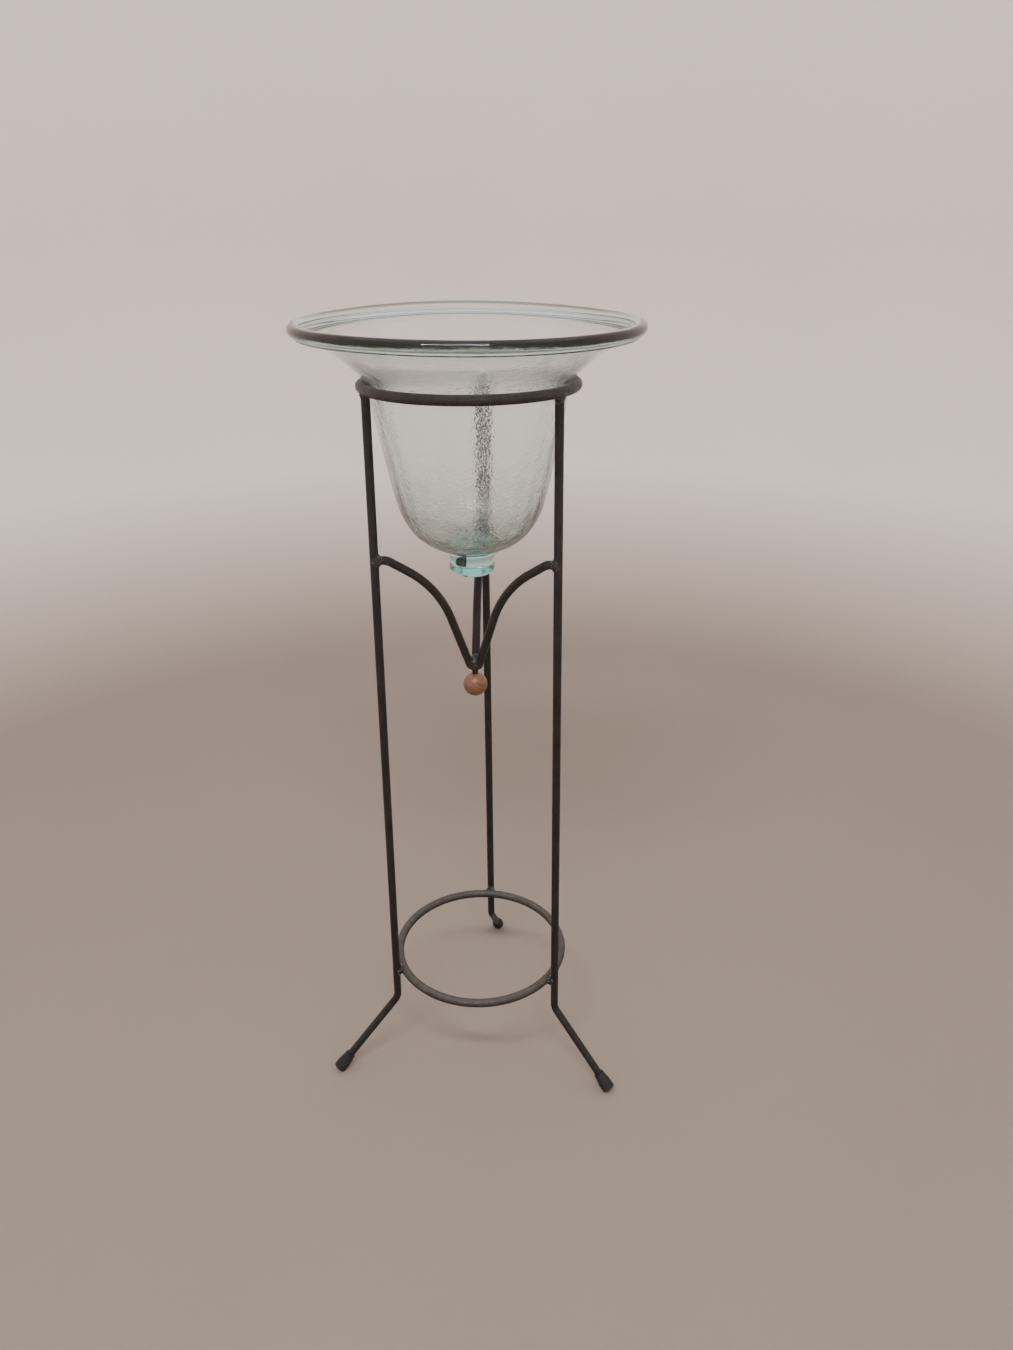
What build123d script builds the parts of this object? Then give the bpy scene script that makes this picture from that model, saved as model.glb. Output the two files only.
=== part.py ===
from build123d import *
import os
from math import cos, radians, sin, hypot

os.makedirs("parts", exist_ok=True)

# ---------------------------------------------------------------------------
# Garden bird bath: a loose glass bowl hanging in the top ring of a welded
# three-legged steel stand.  Millimetres, +Z up.  The origin is on the axis of
# the stand, on the floor.  The rear leg lies on +Y.
# ---------------------------------------------------------------------------

# stand
leg_azimuths = {"front_right": -30.0, "rear": 90.0, "front_left": 210.0}
bar_r = 4.0                 # legs and braces, 8 mm round bar
ring_bar_r = 4.5            # both rings, 9 mm round bar
top_ring_r, top_ring_z = 93.9, 736.5        # centreline
bottom_ring_r, bottom_ring_z = 91.75, 116.8
leg_top_r, leg_top_z = 93.8, 731.9
leg_bend_r, leg_bend_z = 101.2, 79.5        # corner of the bend
leg_bend_radius = 14.0
foot_r, foot_z = 173.8, 3.3                 # centre of a cap's end face

# braces, in the plane of their leg: (radius, height)
brace_points = [(91.05, 588.2), (83.6, 587.2), (35.2, 554.0), (5.0, 468.6)]
brace_bends = [13.0, 108.0]

# rubber caps
cap_length, cap_mouth_r, cap_end_r = 19.5, 5.5, 6.9
cap_bore_r, cap_floor, cap_round = 3.9, 3.2, 2.6

# ball finial
ball_r, ball_z = 12.0, 447.2
stud_r, stud_top_z, stud_depth = 2.9, 467.6, 13.0
ball_flat_z = ball_z + 11.55

# bowl, in its own axis: (radius, height)
bowl_lean = 1.5             # the loose bowl settles a little front-down in its ring
bowl_lean_azimuth = -75.0
bowl_shift = 1.1            # and a little to the rear
bead_r, bead_ring_r, bead_z = 5.2, 146.3, 786.3
outer_wall = [
    (142.9, 783.7), (131.6, 776.2), (119.6, 768.0), (109.2, 760.0), (100.1, 752.0),
    (93.2, 745.0), (89.1, 739.2), (86.9, 731.0), (84.9, 715.0), (82.0, 699.0),
    (75.9, 669.0), (70.2, 642.0), (64.6, 622.5), (55.6, 606.8), (45.5, 596.8),
    (34.5, 590.4), (24.6, 587.3),
]
inner_wall = [
    (143.2, 788.9), (130.4, 780.6), (117.6, 772.0), (106.6, 763.2), (97.2, 754.4),
    (89.9, 746.3), (85.2, 738.9), (82.8, 730.3), (80.7, 714.4), (77.8, 698.0),
    (71.8, 668.0), (66.2, 642.8), (60.7, 625.4), (52.3, 610.7), (43.0, 601.6),
    (33.0, 595.8), (18.0, 593.2), (0.0, 592.7),
]
foot_neck_r, foot_neck_z = 21.5, 585.0
foot_body_r, foot_bottom_z, foot_round = 21.8, 562.6, 6.0


def radial(azimuth):
    """Plane of a leg: local x is outwards, local y is up."""
    a = radians(azimuth)
    return Plane(origin=(0, 0, 0), x_dir=(cos(a), sin(a), 0), z_dir=(sin(a), -cos(a), 0))


def at(azimuth, r, z):
    a = radians(azimuth)
    return (r * cos(a), r * sin(a), z)


def keep(name, piece):
    piece.part.label = name
    export_step(piece.part, f"parts/{name}.step")
    print(f"{name}: {len(piece.part.solids())} solid(s), {piece.part.volume:.1f} mm3")


# ---------------------------------------------------------------------------
# rings: each a bar bent to a circle and butt-welded
# ---------------------------------------------------------------------------
with BuildPart() as top_ring:
    with BuildSketch(Plane.XZ):
        with Locations((top_ring_r, top_ring_z)):
            Circle(ring_bar_r)
    revolve(axis=Axis.Z)
keep("top_ring", top_ring)

with BuildPart() as bottom_ring:
    with BuildSketch(Plane.XZ):
        with Locations((bottom_ring_r, bottom_ring_z)):
            Circle(ring_bar_r)
    revolve(axis=Axis.Z)
keep("bottom_ring", bottom_ring)

# ---------------------------------------------------------------------------
# legs: one bar each, bent outwards near the floor
# ---------------------------------------------------------------------------
run = hypot(foot_r - leg_bend_r, foot_z - leg_bend_z)
down = ((foot_r - leg_bend_r) / run, (foot_z - leg_bend_z) / run)
leg_end = (foot_r - down[0] * cap_floor, foot_z - down[1] * cap_floor)
legs, braces = {}, {}
for side, azimuth in leg_azimuths.items():
    with BuildPart() as leg:
        with BuildLine(radial(azimuth)) as route:
            FilletPolyline(
                (leg_top_r, leg_top_z), (leg_bend_r, leg_bend_z), leg_end,
                radius=leg_bend_radius,
            )
        with BuildSketch(Plane(origin=route.line @ 0, z_dir=route.line % 0)):
            Circle(bar_r)
        sweep(path=route.line)
    legs[side] = leg
    keep(f"leg_{side}", leg)

# ---------------------------------------------------------------------------
# braces: from the inside of each leg, down to the hub under the bowl
# ---------------------------------------------------------------------------
for side, azimuth in leg_azimuths.items():
    with BuildPart() as brace:
        with BuildLine(radial(azimuth)) as route:
            FilletPolyline(*brace_points, radius=brace_bends)
        with BuildSketch(Plane(origin=route.line @ 0, z_dir=route.line % 0)):
            Circle(bar_r)
        sweep(path=route.line)
        # the end is coped to the leg, and cut level at the hub
        add(legs[side].part, mode=Mode.SUBTRACT)
        split(bisect_by=Plane.XY.offset(brace_points[-1][1]), keep=Keep.TOP)
    braces[side] = brace
    keep(f"brace_{side}", brace)

# ---------------------------------------------------------------------------
# rubber caps on the feet
# ---------------------------------------------------------------------------
for side, azimuth in leg_azimuths.items():
    a = radians(azimuth)
    toward = Vector(down[0] * cos(a), down[0] * sin(a), down[1])
    tip = Vector(*at(azimuth, foot_r, foot_z))
    # local x is off the leg's axis, local y runs back up the leg
    side_dir = Vector(-sin(a), cos(a), 0)
    profile_plane = Plane(origin=tip, x_dir=side_dir, z_dir=side_dir.cross(toward * -1))
    with BuildPart() as cap:
        with BuildSketch(profile_plane):
            with BuildLine():
                Polyline(
                    (0, 0), (cap_end_r, 0), (cap_end_r, 7.5), (cap_mouth_r, cap_length - 2.0),
                    (cap_mouth_r, cap_length), (cap_bore_r, cap_length),
                    (cap_bore_r, cap_floor), (0, cap_floor), (0, 0),
                )
            make_face()
        revolve(axis=Axis(tip, toward * -1))
        fillet(cap.edges().filter_by(GeomType.CIRCLE).group_by(lambda e: (e.center() - tip).length)[0], cap_round)
        # worn flat where it stands on the floor
        split(bisect_by=Plane.XY, keep=Keep.TOP)
    keep(f"foot_cap_{side}", cap)

# ---------------------------------------------------------------------------
# ball finial on its stud
# ---------------------------------------------------------------------------
with BuildPart() as ball_stud:
    with BuildSketch(Plane.XY.offset(ball_flat_z - stud_depth)):
        Circle(stud_r)
    extrude(amount=stud_top_z - (ball_flat_z - stud_depth))
    chamfer(ball_stud.faces().sort_by(Axis.Z)[0].edges(), 0.6)
keep("ball_stud", ball_stud)

with BuildPart() as wood_ball:
    with Locations((0, 0, ball_z)):
        Sphere(ball_r)
    split(bisect_by=Plane.XY.offset(ball_flat_z), keep=Keep.BOTTOM)
    with Locations((0, 0, ball_flat_z)):
        Hole(radius=stud_r, depth=stud_depth)
keep("wood_ball", wood_ball)

# ---------------------------------------------------------------------------
# weld beads
# ---------------------------------------------------------------------------
leg_slope = (leg_bend_r - leg_top_r) / (leg_bend_z - leg_top_z)
leg_r_at_ring = leg_top_r + leg_slope * (bottom_ring_z - leg_top_z)
leg_r_at_brace = leg_top_r + leg_slope * (brace_points[0][1] - leg_top_z)


def leg_stub(z, half):
    """A straight length of a leg on +X, centred at height z, for coping a weld."""
    low = (leg_top_r + leg_slope * (z - half - leg_top_z), 0, z - half)
    high = (leg_top_r + leg_slope * (z + half - leg_top_z), 0, z + half)
    with BuildPart(mode=Mode.PRIVATE) as stub:
        with BuildLine() as line:
            Line(low, high)
        with BuildSketch(Plane(origin=low, z_dir=line.line % 0)):
            Circle(bar_r)
        sweep(path=line.line)
    return stub.part


def three(name, one):
    """The same weld at each leg, as one group of separate solids."""
    with BuildPart() as group:
        for azimuth in leg_azimuths.values():
            add(one.part, rotation=(0, 0, azimuth))
    keep(name, group)
    return group


with BuildPart() as top_weld:
    with Locations((leg_top_r + 0.5, 0, 731.0)):
        Sphere(5.6)
    add(leg_stub(leg_top_z - 6.0, 6.0), mode=Mode.SUBTRACT)
    add(top_ring.part, mode=Mode.SUBTRACT)
top_ring_welds = three("top_ring_welds", top_weld)

with BuildPart() as ring_weld:
    with Locations((leg_r_at_ring - bar_r - 0.1, 0, bottom_ring_z + 0.6)):
        Sphere(5.4)
    add(leg_stub(bottom_ring_z, 12.0), mode=Mode.SUBTRACT)
    add(bottom_ring.part, mode=Mode.SUBTRACT)
bottom_ring_welds = three("bottom_ring_welds", ring_weld)

# a fillet weld round the brace: straight sides on the brace's own radius
brace_start = Vector(brace_points[0][0], 0, brace_points[0][1])
brace_dir = (Vector(brace_points[1][0], 0, brace_points[1][1]) - brace_start).normalized()
with BuildPart() as brace_weld:
    with BuildSketch(Plane(origin=brace_start, x_dir=(0, 1, 0), z_dir=Vector(0, 1, 0).cross(brace_dir))):
        with BuildLine():
            Polyline((bar_r, -3.0), (bar_r + 2.0, -3.0), (bar_r + 1.9, 0.6), (bar_r + 1.1, 2.2), (bar_r + 0.3, 3.6), (bar_r, 3.6), (bar_r, -3.0))
        make_face()
    revolve(axis=Axis(brace_start, brace_dir))
    add(leg_stub(brace_points[0][1], 12.0), mode=Mode.SUBTRACT)
brace_welds = three("brace_welds", brace_weld)

with BuildPart() as hub_weld:
    with Locations((0, 0, 468.4)):
        Sphere(7.4)
    split(bisect_by=Plane.XY.offset(464.4), keep=Keep.TOP)
    for brace in braces.values():
        add(brace.part, mode=Mode.SUBTRACT)
    add(ball_stud.part, mode=Mode.SUBTRACT)
keep("hub_weld", hub_weld)

# ---------------------------------------------------------------------------
# glass bowl: bell-shaped, with a wide flare, a thick rolled rim and a solid foot
# ---------------------------------------------------------------------------
t, az = radians(bowl_lean), radians(bowl_lean_azimuth)
bowl_axis = Vector(sin(t) * cos(az), sin(t) * sin(az), cos(t))
side_dir = Vector(-sin(az), cos(az), 0)
pivot = Vector(-bowl_shift * cos(az), -bowl_shift * sin(az), top_ring_z)
bowl_origin = pivot - bowl_axis * top_ring_z
bowl_plane = Plane(origin=bowl_origin, x_dir=side_dir, z_dir=side_dir.cross(bowl_axis))
with BuildPart() as glass_bowl:
    with BuildSketch(bowl_plane) as profile:
        with BuildLine():
            outside = Spline(*outer_wall)
            inside = Spline(*inner_wall)
            Line(outside @ 0, inside @ 0)
            Line(outside @ 1, (foot_neck_r + 1.6, foot_neck_z + 1.1))
            Line((foot_neck_r + 1.6, foot_neck_z + 1.1), (foot_neck_r, foot_neck_z))
            Line((foot_neck_r, foot_neck_z), (foot_body_r, foot_bottom_z + foot_round))
            RadiusArc(
                (foot_body_r, foot_bottom_z + foot_round),
                (foot_body_r - foot_round, foot_bottom_z), foot_round,
            )
            Line((foot_body_r - foot_round, foot_bottom_z), (0, foot_bottom_z))
            Line((0, foot_bottom_z), inside @ 1)
        make_face()
        with Locations((bead_ring_r, bead_z)):
            Circle(bead_r)
    revolve(axis=Axis(bowl_origin, bowl_axis))
keep("glass_bowl", glass_bowl)
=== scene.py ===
import bpy, bmesh, math
import numpy as np
from mathutils import Matrix, Vector


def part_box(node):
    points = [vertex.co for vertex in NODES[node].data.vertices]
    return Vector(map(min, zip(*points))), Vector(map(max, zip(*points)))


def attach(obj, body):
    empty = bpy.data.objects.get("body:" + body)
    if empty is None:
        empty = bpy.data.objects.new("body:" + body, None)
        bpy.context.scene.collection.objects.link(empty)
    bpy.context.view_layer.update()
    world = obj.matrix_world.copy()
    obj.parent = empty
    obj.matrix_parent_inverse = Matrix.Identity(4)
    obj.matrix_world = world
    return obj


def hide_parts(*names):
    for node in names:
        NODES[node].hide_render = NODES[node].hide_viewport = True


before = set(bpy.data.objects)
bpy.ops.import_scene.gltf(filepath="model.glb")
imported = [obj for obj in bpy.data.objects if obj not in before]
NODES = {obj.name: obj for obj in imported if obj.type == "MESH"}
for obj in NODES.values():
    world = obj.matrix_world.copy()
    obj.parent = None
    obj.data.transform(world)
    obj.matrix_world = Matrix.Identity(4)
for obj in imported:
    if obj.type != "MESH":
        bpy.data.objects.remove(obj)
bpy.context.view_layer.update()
MM = 0.001


# ----------------------------------------------------------------- noise ---
def hash3(ix, iy, iz, seed):
    h = (ix.astype(np.int64) * 374761393 + iy.astype(np.int64) * 668265263 + iz.astype(np.int64) * 2147483647 + seed * 974634777) & 0xFFFFFFFF
    h = ((h ^ (h >> 13)) * 1274126177) & 0xFFFFFFFF
    h = ((h ^ (h >> 16)) * 2246822519) & 0xFFFFFFFF
    return ((h ^ (h >> 15)) & 0xFFFFFFFF) / 4294967295.0


def noise(P, size, seed=0):
    """Smooth value noise, about -1 to 1, with features of the given size (same unit as P)."""
    q = P / size
    i = np.floor(q).astype(np.int64)
    f = q - i
    f = f * f * f * (f * (f * 6 - 15) + 10)
    out = np.zeros(len(P))
    for dx in (0, 1):
        for dy in (0, 1):
            for dz in (0, 1):
                w = (f[:, 0] if dx else 1 - f[:, 0]) * (f[:, 1] if dy else 1 - f[:, 1]) * (f[:, 2] if dz else 1 - f[:, 2])
                out += w * hash3(i[:, 0] + dx, i[:, 1] + dy, i[:, 2] + dz, seed)
    return out * 2 - 1


def smooth(x, a, b):
    t = np.clip((x - a) / (b - a), 0, 1)
    return t * t * (3 - 2 * t)


# ---------------------------------------------------------------- meshes ---
def make_object(name, verts, faces, material, body, replaces=(), smooth_shade=True):
    me = bpy.data.meshes.new(name)
    me.from_pydata([tuple(v) for v in verts], [], [tuple(f) for f in faces])
    me.validate()
    me.update()
    if smooth_shade:
        me.polygons.foreach_set("use_smooth", [True] * len(me.polygons))
    ob = bpy.data.objects.new(name, me)
    bpy.context.scene.collection.objects.link(ob)
    me.materials.append(material)
    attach(ob, body)
    if replaces:
        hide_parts(*replaces)
    return ob


def grid_faces(rows, cols, close_rows=False):
    """Quads of a rows x cols grid of points, wrapped round in the column direction."""
    r = np.arange(rows if close_rows else rows - 1)
    c = np.arange(cols)
    R, C = np.meshgrid(r, c, indexing="ij")
    a = R * cols + C
    b = R * cols + (C + 1) % cols
    d = ((R + 1) % rows) * cols + C
    e = ((R + 1) % rows) * cols + (C + 1) % cols
    return np.stack([a, d, e, b], -1).reshape(-1, 4).tolist()


def catmull(points, per=10):
    """A smooth line through the points (centripetal)."""
    p = [np.array(q, float) for q in points]
    p = [2 * p[0] - p[1]] + p + [2 * p[-1] - p[-2]]
    out = []
    for k in range(1, len(p) - 2):
        p0, p1, p2, p3 = p[k - 1], p[k], p[k + 1], p[k + 2]
        t0 = 0
        t1 = t0 + max(np.linalg.norm(p1 - p0), 1e-6) ** 0.5
        t2 = t1 + max(np.linalg.norm(p2 - p1), 1e-6) ** 0.5
        t3 = t2 + max(np.linalg.norm(p3 - p2), 1e-6) ** 0.5
        for t in np.linspace(t1, t2, per, endpoint=False):
            a1 = (t1 - t) / (t1 - t0) * p0 + (t - t0) / (t1 - t0) * p1
            a2 = (t2 - t) / (t2 - t1) * p1 + (t - t1) / (t2 - t1) * p2
            a3 = (t3 - t) / (t3 - t2) * p2 + (t - t2) / (t3 - t2) * p3
            b1 = (t2 - t) / (t2 - t0) * a1 + (t - t0) / (t2 - t0) * a2
            b2 = (t3 - t) / (t3 - t1) * a2 + (t - t1) / (t3 - t1) * a3
            out.append((t2 - t) / (t2 - t1) * b1 + (t - t1) / (t2 - t1) * b2)
    out.append(p[-2])
    return np.array(out)


def resample(line, step):
    d = np.r_[0, np.cumsum(np.linalg.norm(np.diff(line, axis=0), axis=1))]
    n = max(2, int(round(d[-1] / step)) + 1)
    s = np.linspace(0, d[-1], n)
    return np.stack([np.interp(s, d, line[:, k]) for k in range(line.shape[1])], -1)


# ------------------------------------------------------------- materials ---
class Nodes:
    def __init__(self, name):
        self.m = bpy.data.materials.new(name)
        self.m.use_nodes = True
        self.t = self.m.node_tree
        self.t.nodes.clear()
        self.out = self.t.nodes.new("ShaderNodeOutputMaterial")
        self.bsdf = self.t.nodes.new("ShaderNodeBsdfPrincipled")
        self.t.links.new(self.bsdf.outputs[0], self.out.inputs[0])
        self.co = self.t.nodes.new("ShaderNodeTexCoord").outputs["Object"]

    def link(self, a, b):
        self.t.links.new(a, b)

    def set(self, **kw):
        for k, v in kw.items():
            self.bsdf.inputs[k.replace("_", " ")].default_value = v

    def noise(self, scale, detail=3.0, rough=0.55, co=None, distortion=0.0):
        n = self.t.nodes.new("ShaderNodeTexNoise")
        n.inputs["Scale"].default_value = scale
        n.inputs["Detail"].default_value = detail
        n.inputs["Roughness"].default_value = rough
        n.inputs["Distortion"].default_value = distortion
        self.link(co or self.co, n.inputs["Vector"])
        return n.outputs[0]

    def voronoi(self, scale, feature="F1", co=None, out="Distance"):
        n = self.t.nodes.new("ShaderNodeTexVoronoi")
        n.feature = feature
        n.inputs["Scale"].default_value = scale
        self.link(co or self.co, n.inputs["Vector"])
        return n.outputs[out]

    def stretch(self, x, y, z, rot=(0, 0, 0)):
        n = self.t.nodes.new("ShaderNodeMapping")
        n.inputs["Scale"].default_value = (x, y, z)
        n.inputs["Rotation"].default_value = rot
        self.link(self.co, n.inputs["Vector"])
        return n.outputs[0]

    def ramp(self, fac, *stops, interp="LINEAR"):
        n = self.t.nodes.new("ShaderNodeValToRGB")
        n.color_ramp.interpolation = interp
        while len(n.color_ramp.elements) < len(stops):
            n.color_ramp.elements.new(0.5)
        for e, (pos, col) in zip(n.color_ramp.elements, stops):
            e.position = pos
            e.color = (col, col, col, 1) if isinstance(col, (int, float)) else (*col, 1)
        self.link(fac, n.inputs[0])
        return n.outputs[0]

    def mix(self, fac, a, b, kind="MIX"):
        n = self.t.nodes.new("ShaderNodeMix")
        n.data_type = "RGBA"
        n.blend_type = kind
        for socket, v in ((n.inputs[0], fac), (n.inputs[6], a), (n.inputs[7], b)):
            if isinstance(v, (int, float)):
                socket.default_value = v if socket.type == "VALUE" else (v, v, v, 1)
            elif isinstance(v, tuple):
                socket.default_value = (*v, 1)
            else:
                self.link(v, socket)
        return n.outputs[2]

    def math(self, op, a, b=0.0):
        n = self.t.nodes.new("ShaderNodeMath")
        n.operation = op
        for socket, v in zip(n.inputs, (a, b)):
            if isinstance(v, (int, float)):
                socket.default_value = v
            else:
                self.link(v, socket)
        return n.outputs[0]

    def normal_z(self):
        g = self.t.nodes.new("ShaderNodeNewGeometry")
        s = self.t.nodes.new("ShaderNodeSeparateXYZ")
        self.link(g.outputs["Normal"], s.inputs[0])
        return s.outputs[2]

    def axis(self, k, co=None):
        s = self.t.nodes.new("ShaderNodeSeparateXYZ")
        self.link(co or self.co, s.inputs[0])
        return s.outputs[k]

    def bump(self, height, strength=0.3, distance=0.001, normal=None):
        n = self.t.nodes.new("ShaderNodeBump")
        n.inputs["Strength"].default_value = strength
        n.inputs["Distance"].default_value = distance
        self.link(height, n.inputs["Height"])
        if normal is not None:
            self.link(normal, n.inputs["Normal"])
        self.link(n.outputs[0], self.bsdf.inputs["Normal"])
        return n.outputs[0]


def steel_material(name, tone=1.0, dust_and_sheen=0.0, wear=0.0):
    """Black-brown waxed bar: mottled, slightly uneven surface, lighter on upward faces (partly dust, partly painted
    highlight from the light above), and worn specks.
    """
    k = Nodes(name)
    blotch = k.noise(38.0, 4.0, 0.6)
    fine = k.noise(620.0, 3.0, 0.6)
    along = k.noise(110.0, 3.0, 0.55)
    dark = tuple(c * tone for c in (0.0056, 0.0052, 0.0051))
    mid = tuple(c * tone for c in (0.0145, 0.0130, 0.0121))
    light = tuple(c * tone for c in (0.031, 0.028, 0.026))
    base = k.mix(k.ramp(blotch, (0.35, 0.0), (0.68, 1.0)), dark, mid)
    base = k.mix(k.ramp(fine, (0.45, 0.0), (0.78, 0.6)), base, light)
    up = k.ramp(k.normal_z(), (0.0, 0.0), (0.85, 1.0))
    # upward-facing surfaces get a lighter colour: partly real dust, partly painted highlight where the light from above
    # falls
    if dust_and_sheen:
        dust_and_sheen_mask = k.math("MULTIPLY", k.math("MULTIPLY", up, k.ramp(k.noise(150.0, 4.0, 0.65), (0.25, 0.35), (0.7, 1.0))), dust_and_sheen)
        base = k.mix(dust_and_sheen_mask, base, (0.150, 0.134, 0.122))
    if wear:
        chips = k.ramp(k.noise(430.0, 5.0, 0.72), (0.60, 0.0), (0.66, 1.0))
        patch = k.ramp(k.noise(26.0, 2.0, 0.5), (0.45, 0.0), (0.62, 1.0))
        specks = k.math("MULTIPLY", k.math("MULTIPLY", chips, patch), wear)
        base = k.mix(specks, base, (0.25, 0.21, 0.17))
    k.link(base, k.bsdf.inputs["Base Color"])
    rough = k.ramp(k.noise(120.0, 4.0, 0.6), (0.3, 0.36), (0.7, 0.56))
    if dust_and_sheen:
        rough = k.mix(k.math("MULTIPLY", up, 0.6 * dust_and_sheen), rough, (0.85, 0.85, 0.85))
    k.link(rough, k.bsdf.inputs["Roughness"])
    k.set(Metallic=0.0, IOR=1.45, Specular_IOR_Level=0.42)
    height = k.mix(0.4, along, fine)
    k.bump(height, 0.4, 0.0007)
    return k.m


def weld_material(name, bright=0.0):
    """Rough weld bead under the same finish, rubbed bright on its high spots."""
    k = Nodes(name)
    lump = k.noise(260.0, 3.0, 0.6)
    base = k.mix(k.ramp(lump, (0.35, 0.0), (0.7, 1.0)), (0.0065, 0.0060, 0.0055), (0.024, 0.020, 0.017))
    spots = k.math("MULTIPLY", k.ramp(k.noise(330.0, 3.0, 0.6), (0.53, 0.0), (0.66, 1.0)), bright)
    base = k.mix(spots, base, (0.22, 0.21, 0.195))
    k.link(base, k.bsdf.inputs["Base Color"])
    k.link(k.ramp(k.noise(400.0, 3.0, 0.6), (0.3, 0.30), (0.7, 0.55)), k.bsdf.inputs["Roughness"])
    k.set(Metallic=0.0, IOR=1.5)
    k.bump(k.noise(480.0, 4.0, 0.65), 0.5, 0.0007)
    return k.m


def rubber_material():
    k = Nodes("black_rubber")
    scuff = k.ramp(k.noise(210.0, 5.0, 0.7), (0.55, 0.0), (0.75, 1.0))
    base = k.mix(scuff, (0.010, 0.0098, 0.0095), (0.030, 0.028, 0.026))
    low = k.ramp(k.axis(2), (0.0, 1.0), (0.012, 0.0))
    base = k.mix(k.math("MULTIPLY", low, k.ramp(k.noise(340.0, 4.0, 0.6), (0.4, 0.0), (0.7, 0.5))), base, (0.10, 0.092, 0.082))
    k.link(base, k.bsdf.inputs["Base Color"])
    k.link(k.ramp(k.noise(160.0, 3.0, 0.5), (0.3, 0.55), (0.7, 0.78)), k.bsdf.inputs["Roughness"])
    k.set(IOR=1.5, Specular_IOR_Level=0.4)
    k.bump(k.noise(900.0, 4.0, 0.6), 0.3, 0.0004)
    return k.m


def wood_material(centre):
    """Turned hardwood: growth rings cut across the ball, fine pores, soft worn oil."""
    k = Nodes("turned_wood")
    m = k.t.nodes.new("ShaderNodeMapping")
    m.inputs["Location"].default_value = (-centre[0] - 0.010, -centre[1] + 0.006, -centre[2])
    m.inputs["Rotation"].default_value = (0.35, 0.9, 0.0)
    k.link(k.co, m.inputs["Vector"])
    w = k.t.nodes.new("ShaderNodeTexWave")
    w.wave_type = "RINGS"
    w.rings_direction = "Z"
    w.inputs["Scale"].default_value = 72.0
    w.inputs["Distortion"].default_value = 5.5
    w.inputs["Detail"].default_value = 3.5
    w.inputs["Detail Scale"].default_value = 1.2
    k.link(m.outputs[0], w.inputs["Vector"])
    grain = w.outputs["Fac"]
    pores = k.noise(900.0, 4.0, 0.65, co=k.stretch(1.0, 0.22, 1.0, (0.35, 0.9, 0.0)))
    base = k.mix(k.ramp(grain, (0.1, 0.0), (0.9, 1.0)), (0.165, 0.080, 0.037), (0.112, 0.050, 0.022))
    base = k.mix(k.ramp(pores, (0.50, 0.0), (0.68, 0.55)), base, (0.085, 0.036, 0.016))
    base = k.mix(k.ramp(k.noise(95.0, 2.0, 0.5), (0.3, 0.0), (0.7, 0.5)), base, (0.19, 0.098, 0.049))
    k.link(base, k.bsdf.inputs["Base Color"])
    k.link(k.ramp(pores, (0.4, 0.36), (0.7, 0.55)), k.bsdf.inputs["Roughness"])
    k.set(IOR=1.5, Coat_Weight=0.25, Coat_Roughness=0.3)
    k.bump(pores, 0.25, 0.0003)
    return k.m


def glass_material(name):
    """Recycled glass, tinted by its depth: pebbled on the body, hazy at the throat, fire-polished at the rim, smooth at the foot."""
    k = Nodes(name)
    z = k.axis(2)
    rim = k.ramp(z, (0.774, 0.0), (0.780, 1.0))
    foot = k.ramp(z, (0.583, 1.0), (0.588, 0.0))
    flare = k.ramp(z, (0.738, 0.0), (0.756, 1.0))
    plain = k.math("MAXIMUM", rim, foot)
    cloud = k.noise(22.0, 3.0, 0.5)
    k.link(k.mix(k.ramp(cloud, (0.3, 0.0), (0.7, 1.0)), (0.975, 0.995, 0.990), (0.995, 1.0, 1.0)), k.bsdf.inputs["Base Color"])
    rough = k.ramp(k.noise(60.0, 3.0, 0.5), (0.3, 0.012), (0.7, 0.045))
    rough = k.mix(flare, rough, k.ramp(k.noise(75.0, 3.0, 0.55, co=k.stretch(1.0, 1.0, 2.2)), (0.3, 0.13), (0.7, 0.24)))
    rough = k.mix(k.ramp(z, (0.755, 0.0), (0.766, 1.0)), rough, k.ramp(k.noise(60.0, 2.0, 0.5), (0.3, 0.02), (0.7, 0.05)))
    rough = k.mix(plain, rough, k.ramp(k.noise(40.0, 2.0, 0.5), (0.3, 0.010), (0.7, 0.022)))
    k.link(rough, k.bsdf.inputs["Roughness"])
    k.set(IOR=1.5, Transmission_Weight=1.0)
    grain = k.mix(0.45, k.noise(470.0, 2.0, 0.55, distortion=0.4), k.voronoi(430.0, "SMOOTH_F1"))
    grain = k.mix(0.3, grain, k.noise(150.0, 2.0, 0.5))
    amount = k.math("SUBTRACT", 1.0, k.math("MAXIMUM", k.math("MULTIPLY", flare, 0.5), k.math("MULTIPLY", plain, 0.985)))
    k.bump(k.math("MULTIPLY", grain, amount), GLASS_BUMP, 0.0007)
    vol = k.t.nodes.new("ShaderNodeVolumeAbsorption")
    vol.inputs["Color"].default_value = (*GLASS_TINT, 1)
    vol.inputs["Density"].default_value = GLASS_DENSITY
    k.link(vol.outputs[0], k.out.inputs["Volume"])
    return k.m


GLASS_BUMP = 0.5
GLASS_TINT = (0.10, 0.64, 0.60)
GLASS_DENSITY = 22.0
STEEL = steel_material("black_steel_bar")
# the rings: upward faces lightened by dust and painted highlight, more on the low ring
STEEL_TOP = steel_material("black_steel_top_ring", tone=2.2, dust_and_sheen=0.22, wear=0.25)
STEEL_LOW_RING_DUST_AND_SHEEN = steel_material("black_steel_low_ring", tone=2.2, dust_and_sheen=0.40, wear=0.85)
WELD = weld_material("weld_dark", 0.35)
WELD_BRIGHT = weld_material("weld_rubbed", 0.85)
RUBBER = rubber_material()
ball_lo, ball_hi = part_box("wood_ball")
ball_r = (ball_hi.x - ball_lo.x) / 2
ball_c = Vector(((ball_lo.x + ball_hi.x) / 2, (ball_lo.y + ball_hi.y) / 2, ball_lo.z + ball_r))
WOOD = wood_material(ball_c)
GLASS = glass_material("aqua_glass")


def set_material(node, material):
    ob = NODES[node]
    ob.data.materials.clear()
    ob.data.materials.append(material)


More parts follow.
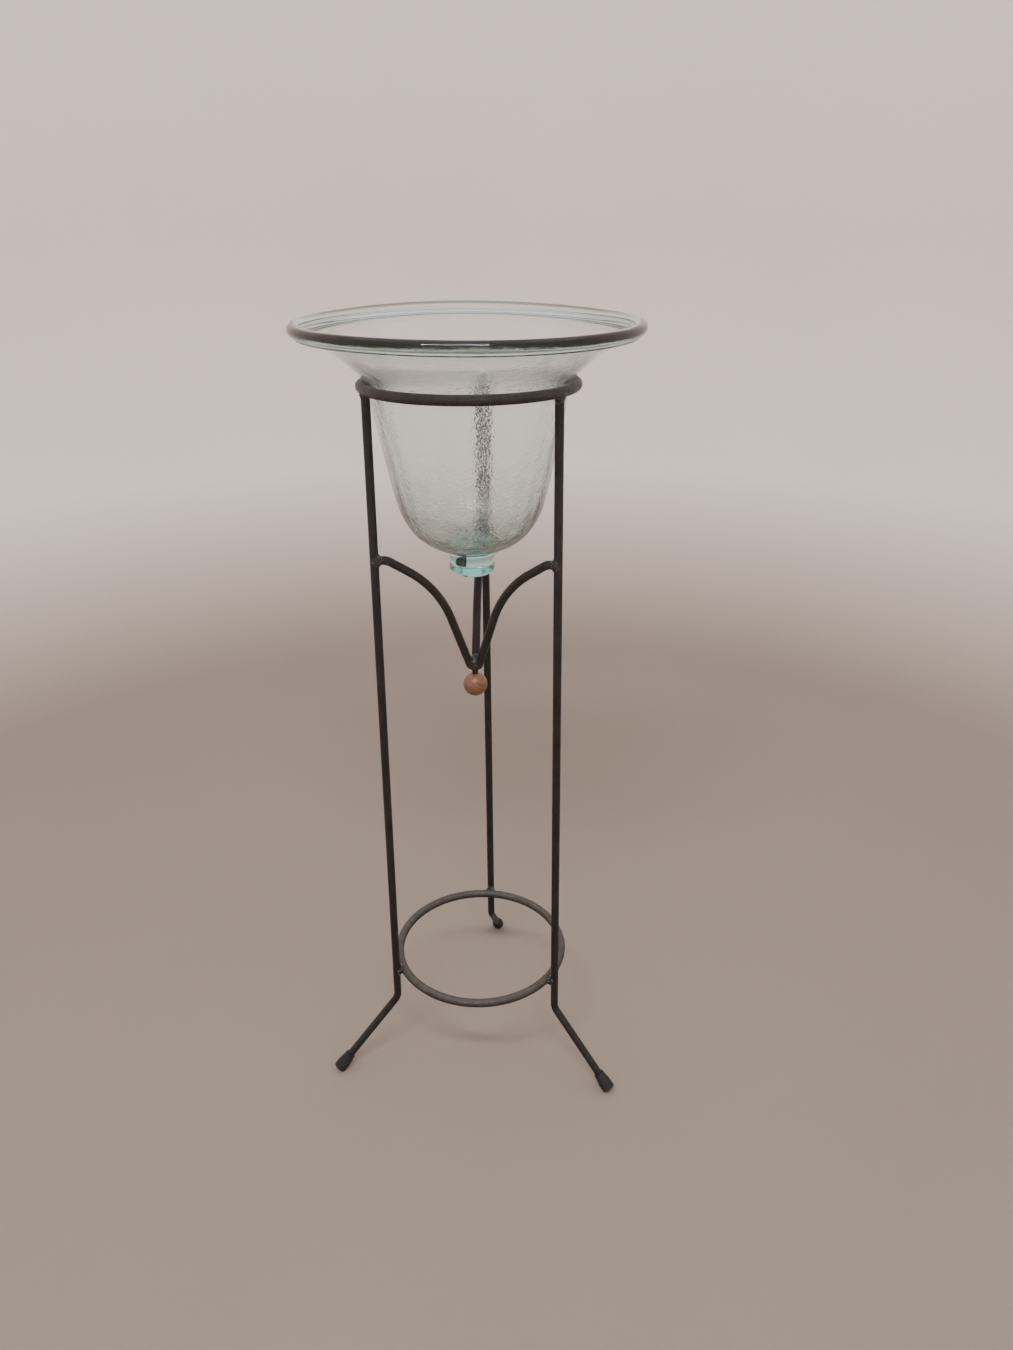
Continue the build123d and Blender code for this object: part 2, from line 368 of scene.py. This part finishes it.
for n in ("leg_front_left", "leg_front_right", "leg_rear", "brace_front_left", "brace_front_right", "brace_rear", "ball_stud"):
    set_material(n, STEEL)
set_material("top_ring", STEEL_TOP)
set_material("bottom_ring", STEEL_LOW_RING_DUST_AND_SHEEN)
for n in ("foot_cap_front_left", "foot_cap_front_right", "foot_cap_rear"):
    set_material(n, RUBBER)
set_material("wood_ball", WOOD)

# ----------------------------------------------------------------- welds ---
def segment_distance(p, a, b):
    ab = b - a
    t = np.clip(((p - a) @ ab) / (ab @ ab), 0, 1)
    return np.linalg.norm(p - (a + t[:, None] * ab), axis=1)


def line_distance(p, pts):
    return np.min([segment_distance(p, a, b) for a, b in zip(pts[:-1], pts[1:])], axis=0)


def ring_distance(p, r, z):
    return np.hypot(np.hypot(p[:, 0], p[:, 1]) - r, p[:, 2] - z)


def directions(level):
    bm = bmesh.new()
    bmesh.ops.create_icosphere(bm, subdivisions=level, radius=1.0)
    bm.verts.ensure_lookup_table()
    v = np.array([q.co[:] for q in bm.verts])
    v /= np.linalg.norm(v, axis=1)[:, None]
    f = [[q.index for q in face.verts] for face in bm.faces]
    bm.free()
    return v, f


DIRS, DIR_FACES = directions(6)


def weld_blob(centre, reach, bars, k, lump, seed):
    """The metal that fills the corner between bars that meet: their smooth union about a point, with uneven ripples. bars are functions of points in mm that give the distance from each bar's surface."""
    centre = np.array(centre, float)

    def field(p):
        d = np.array([b(p) for b in bars]) + 0.07
        low = np.sort(d, axis=0)
        h = np.clip(k - (low[1] - low[0]), 0, None) / k
        fill = h * h * k * 0.25
        if len(bars) > 2:
            h2 = np.clip(k - (low[2] - low[0]), 0, None) / k
            fill = fill + h2 * h2 * k * 0.12
        rough = 1 + lump * (0.6 * noise(p, 1.7, seed) + 0.4 * noise(p, 0.8, seed + 1))
        return np.maximum(low[0] - fill * rough, np.linalg.norm(p - centre, axis=1) - reach)

    n = len(DIRS)
    inside, outside = np.zeros(n), np.full(n, reach + 0.5)
    found = np.zeros(n, bool)
    for t in np.linspace(0.15, reach + 0.5, 60):
        v = field(centre + DIRS * t) > 0
        outside = np.where(v & ~found, t, outside)
        found |= v
        inside = np.where(~found, t, inside)
    for _ in range(14):
        mid = (inside + outside) / 2
        v = field(centre + DIRS * mid[:, None]) > 0
        outside = np.where(v, mid, outside)
        inside = np.where(v, inside, mid)
    return centre + DIRS * ((inside + outside) / 2)[:, None]


def at(azimuth, r, z):
    a = math.radians(azimuth)
    return np.array([r * math.cos(a), r * math.sin(a), z])


LEGS = {"front_right": -30.0, "rear": 90.0, "front_left": 210.0}
leg_slope = (101.2 - 93.8) / (79.5 - 731.9)


def leg_r(z):
    return 93.8 + leg_slope * (z - 731.9)


def leg_bar(azimuth, low, high):
    a, b = at(azimuth, leg_r(low), low), at(azimuth, leg_r(high), high)
    return lambda p: segment_distance(p, a, b) - 4.0


def brace_bar(azimuth, pts):
    line = [at(azimuth, r, z) for r, z in pts]
    return lambda p: line_distance(p, line) - 4.0


def weld_group(name, blobs, material, node):
    v = np.vstack(blobs) * MM
    f = []
    for i in range(len(blobs)):
        f += [[q + i * len(DIRS) for q in face] for face in DIR_FACES]
    return make_object(name, v, f, material, "stand", [node])


weld_group("weld_beads_top_ring", [
    weld_blob(at(a, 93.9, 731.6), 9.5, [lambda p: ring_distance(p, 93.9, 736.5) - 4.5, leg_bar(a, 700, 731.0)], 5.0, 0.9, 20 + i)
    for i, a in enumerate(LEGS.values())], WELD, "top_ring_welds")
weld_group("weld_beads_low_ring", [
    weld_blob(at(a, 96.6, 116.9), 9.5, [lambda p: ring_distance(p, 91.75, 116.8) - 4.5, leg_bar(a, 90, 140)], 6.5, 0.8, 30 + i)
    for i, a in enumerate(LEGS.values())], WELD_BRIGHT, "bottom_ring_welds")
weld_group("weld_beads_braces", [
    weld_blob(at(a, 90.9, 588.1), 9.5, [leg_bar(a, 560, 620), brace_bar(a, [(92.0, 588.3), (87.0, 587.6), (84.0, 586.6), (80.0, 584.6), (74.0, 580.6)])], 4.4, 0.35, 40 + i)
    for i, a in enumerate(LEGS.values())], WELD, "brace_welds")
weld_group("weld_bead_hub", [
    weld_blob((0, 0, 468.0), 12.0, [brace_bar(a, [(5.0, 468.6), (9.0, 479.9), (11.0, 485.6)]) for a in LEGS.values()]
              + [lambda p: segment_distance(p, np.array([0, 0, 466.6]), np.array([0, 0, 472.0])) - 5.0], 3.2, 0.7, 50)], WELD, "hub_weld")

# ------------------------------------------------------------ glass bowl ---
# the bowl's own frame: it leans a little in its ring, as in the CAD source
RING_Z = 736.5
lean, lean_az, shift = math.radians(1.5), math.radians(-75.0), 1.1
b_axis = np.array([math.sin(lean) * math.cos(lean_az), math.sin(lean) * math.sin(lean_az), math.cos(lean)])
b_x = np.array([-math.sin(lean_az), math.cos(lean_az), 0.0])
b_y = np.cross(b_axis, b_x)
b_origin = np.array([-shift * math.cos(lean_az), -shift * math.sin(lean_az), RING_Z]) - b_axis * RING_Z

BEAD_R, BEAD_RING, BEAD_Z = 5.2, 146.3, 786.3
inner = catmull([
    (0.0, 592.7), (9.0, 592.8), (20.0, 593.3), (33.0, 595.7), (43.0, 601.5), (52.3, 610.7), (60.6, 625.2), (66.2, 642.9),
    (71.8, 668.1), (77.8, 698.1), (80.7, 714.5), (82.8, 730.4), (85.2, 738.9), (89.9, 746.0), (97.2, 753.5), (106.6, 761.7),
    (117.6, 770.3), (127.5, 777.1), (133.2, 781.0), (135.6, 783.6), (138.4, 785.7), (141.2, 788.1)], 12)
outer = catmull([
    (141.5, 779.6), (138.6, 779.1), (131.6, 775.4), (119.6, 767.8), (109.2, 759.9), (100.1, 751.9), (93.2, 744.9), (89.1, 739.1),
    (86.9, 730.9), (84.9, 714.9), (82.0, 698.9), (75.9, 668.9), (70.2, 641.9), (64.6, 622.4), (55.6, 606.7), (45.5, 596.8),
    (34.5, 590.5), (26.4, 587.6), (23.2, 586.2), (21.9, 584.2), (21.5, 581.5), (21.4, 577.0), (21.7, 571.5), (21.3, 567.6),
    (19.6, 564.6), (16.4, 563.1), (12.0, 562.8), (6.0, 563.4), (0.0, 563.8)], 12)
ang = np.radians(np.linspace(150, -66, 42))
bead = np.stack([BEAD_RING + BEAD_R * np.cos(ang), BEAD_Z + BEAD_R * np.sin(ang)], -1)
ang = np.radians(np.linspace(20, -140, 14))
fold = np.stack([144.9 + 1.8 * np.cos(ang), 780.3 + 1.5 * np.sin(ang)], -1)
profile = np.vstack([inner[:-1], bead, fold, outer[1:]])
# spacing: fine on the rim, coarser on the walls
parts = [resample(inner, 1.55), resample(np.vstack([inner[-1:], bead, fold, outer[:1]]), 0.62), resample(outer, 1.55)]
kinds = np.concatenate([np.full(len(parts[0]), 0), np.full(len(parts[1]) - 2, 1), np.full(len(parts[2]), 2)])
profile = np.vstack([parts[0], parts[1][1:-1], parts[2]])
tang = np.gradient(profile, axis=0)
tang /= np.linalg.norm(tang, axis=1)[:, None] + 1e-12
normal2 = np.stack([tang[:, 1] * -1, tang[:, 0]], -1)      # to the left of the way from the inner floor to the foot: out of the glass
N_AZ = 560
az = np.linspace(0, 2 * math.pi, N_AZ, endpoint=False)
rows = profile[1:-1]
nrm = normal2[1:-1]
kd = kinds[1:-1]
R = np.repeat(rows[:, 0], N_AZ)
Z = np.repeat(rows[:, 1], N_AZ)
A = np.tile(az, len(rows))
NR, NZ, K = np.repeat(nrm[:, 0], N_AZ), np.repeat(nrm[:, 1], N_AZ), np.repeat(kd, N_AZ)
P = np.stack([R * np.cos(A), R * np.sin(A), Z], -1)
# pebbled skin from the mould, strongest on the body, softer on the flare, none on the fire-polished rim
body = 1 - smooth(Z, 740, 770) * 0.7
body = np.where(K == 1, 0.0, body) * smooth(R, 16, 34) * (1 - smooth(R, 134, 141))
body = np.where((K == 2) & (Z < 588), 0.10, body)
pebble = noise(P, 3.4, 1) * 0.030 + noise(P, 7.5, 2) * 0.045
pebble2 = noise(P, 3.8, 5) * 0.022 + noise(P, 9.0, 6) * 0.040
skin = np.where(K == 2, pebble, pebble2) * body
# soft vertical ribs from the optic mould, and slow unevenness of hand work
rib = np.cos(A * 24 + 0.9 * noise(P, 60.0, 9)) * np.where(K == 0, 0.060, 0.025) * smooth(Z, 606, 640) * (1 - smooth(Z, 735, 764))
slow = noise(P, 42.0, 11) * 0.16 * np.where(K == 1, 0.2, 1.0) * smooth(R, 24, 60)
d = skin + np.where(K == 1, 0, rib) + np.where(K == 0, slow * 0.8, slow * 0.35)
# near the ring the outside stays clear of it
d = np.where((K == 2) & (np.abs(Z - 739) < 9), np.minimum(d, 0.12), d)
R2, Z2 = R + NR * d, Z + NZ * d
# the rim of a hand-made bowl isn't quite flat
front = math.radians(-82.0) - math.atan2(b_x[1], b_x[0])
wave = (-1.3 * np.cos(A - front) + 1.0 * np.cos(2 * (A - front)) + 0.35 * np.cos(3 * A + 1.1)) * smooth(Z, 748, 786) * smooth(R, 92, 146)
wave = wave - (0.9 + 1.9 * smooth(-np.cos(A - front), -0.3, 0.85)) * smooth(Z, 748, 786) * smooth(R, 92, 146)
Z2 = Z2 + wave
local = np.stack([R2 * np.cos(A), R2 * np.sin(A), Z2], -1)
ends = np.array([[0, 0, profile[0, 1]], [0, 0, profile[-1, 1]]])
local = np.vstack([local, ends])
world = (b_origin + local[:, :1] * b_x + local[:, 1:2] * b_y + local[:, 2:] * b_axis) * MM
nrows = len(rows)
faces = grid_faces(nrows, N_AZ)
first, last = nrows * N_AZ, nrows * N_AZ + 1
faces += [(first, j, (j + 1) % N_AZ) for j in range(N_AZ)]
faces += [(last, (nrows - 1) * N_AZ + (j + 1) % N_AZ, (nrows - 1) * N_AZ + j) for j in range(N_AZ)]
bowl = make_object("bird_bath_bowl", world, faces, GLASS, "bowl", ["glass_bowl"])

# ------------------------------------------------------- stage and light ---
def studio_material():
    """Matt paper sweep: pale grey-beige underfoot, off-white where it turns up."""
    k = Nodes("studio_sweep")
    n = k.ramp(k.noise(3.0, 4.0, 0.5), (0.3, 0.0), (0.7, 1.0))
    low = k.mix(n, FLOOR_COLOUR, tuple(c * 0.97 for c in FLOOR_COLOUR))
    high = k.mix(n, WALL_COLOUR, tuple(c * 0.98 for c in WALL_COLOUR))
    k.link(k.mix(k.ramp(k.axis(2), (0.01, 0.0), (0.30, 1.0)), low, high), k.bsdf.inputs["Base Color"])
    k.link(k.ramp(k.noise(90.0, 3.0, 0.5), (0.3, 0.78), (0.7, 0.86)), k.bsdf.inputs["Roughness"])
    k.set(Specular_IOR_Level=0.25)
    k.bump(k.noise(700.0, 3.0, 0.5), 0.15, 0.0004)
    return k.m


FLOOR_COLOUR = (0.290, 0.243, 0.210)
WALL_COLOUR = (0.90, 0.795, 0.75)
# a round sweep: floor that turns up into a pale wall all the way round
prof = [(1.0, 0.0)]
for i in range(1, 13):
    t = math.radians(90 * i / 12)
    prof.append((1.0 + 0.85 * math.sin(t), 0.85 * (1 - math.cos(t))))
prof += [(1.85, 1.6), (1.85, 2.9)]
seg = 128
sv = [(r * math.cos(2 * math.pi * j / seg), r * math.sin(2 * math.pi * j / seg), z) for r, z in prof for j in range(seg)]
sf = [(i * seg + j, (i + 1) * seg + j, (i + 1) * seg + (j + 1) % seg, i * seg + (j + 1) % seg) for i in range(len(prof) - 1) for j in range(seg)]
c = len(sv)
sv.append((0, 0, 0))
sf += [(c, j, (j + 1) % seg) for j in range(seg)]
me = bpy.data.meshes.new("studio_sweep")
me.from_pydata(sv, [], sf)
me.polygons.foreach_set("use_smooth", [True] * len(me.polygons))
me.materials.append(studio_material())
sweep = bpy.data.objects.new("studio_sweep", me)
bpy.context.scene.collection.objects.link(sweep)


def area(name, loc, target, size, power, colour=(1, 1, 1), size_y=None):
    li = bpy.data.lights.new(name, "AREA")
    li.energy = power
    li.color = colour
    li.shape = "RECTANGLE"
    li.size = size
    li.size_y = size_y or size
    ob = bpy.data.objects.new(name, li)
    ob.location = loc
    ob.rotation_euler = (Vector(target) - Vector(loc)).to_track_quat("-Z", "Y").to_euler()
    bpy.context.scene.collection.objects.link(ob)
    return ob


area("key", (-0.03, -1.35, 2.4), (0, 0, 0.3), 1.25, 34, (1.0, 0.985, 0.965), 0.16)
w = bpy.data.worlds.new("studio_world")
w.use_nodes = True
w.node_tree.nodes["Background"].inputs[0].default_value = (0.955, 0.99, 1.0, 1)
w.node_tree.nodes["Background"].inputs[1].default_value = 1.28
bpy.context.scene.world = w

# ---------------------------------------------------------------- camera ---
right = Vector((0.994849, 0.101257, -0.004759))
down = Vector((0.038477, -0.420636, -0.906413))
forward = Vector((-0.093783, 0.901561, -0.422365))
cam_data = bpy.data.cameras.new("camera")
cam_data.sensor_fit = "AUTO"
cam_data.sensor_width = 36.0
cam_data.lens = 951.0 / 1350.0 * 36.0
cam_data.clip_start, cam_data.clip_end = 0.02, 50
cam = bpy.data.objects.new("camera", cam_data)
up, back = -down, -forward
cam.matrix_world = Matrix(((right.x, up.x, back.x, 0.11961), (right.y, up.y, back.y, -0.84887), (right.z, up.z, back.z, 0.85565), (0, 0, 0, 1)))
bpy.context.scene.collection.objects.link(cam)
bpy.context.scene.camera = cam

bpy.context.view_layer.update()
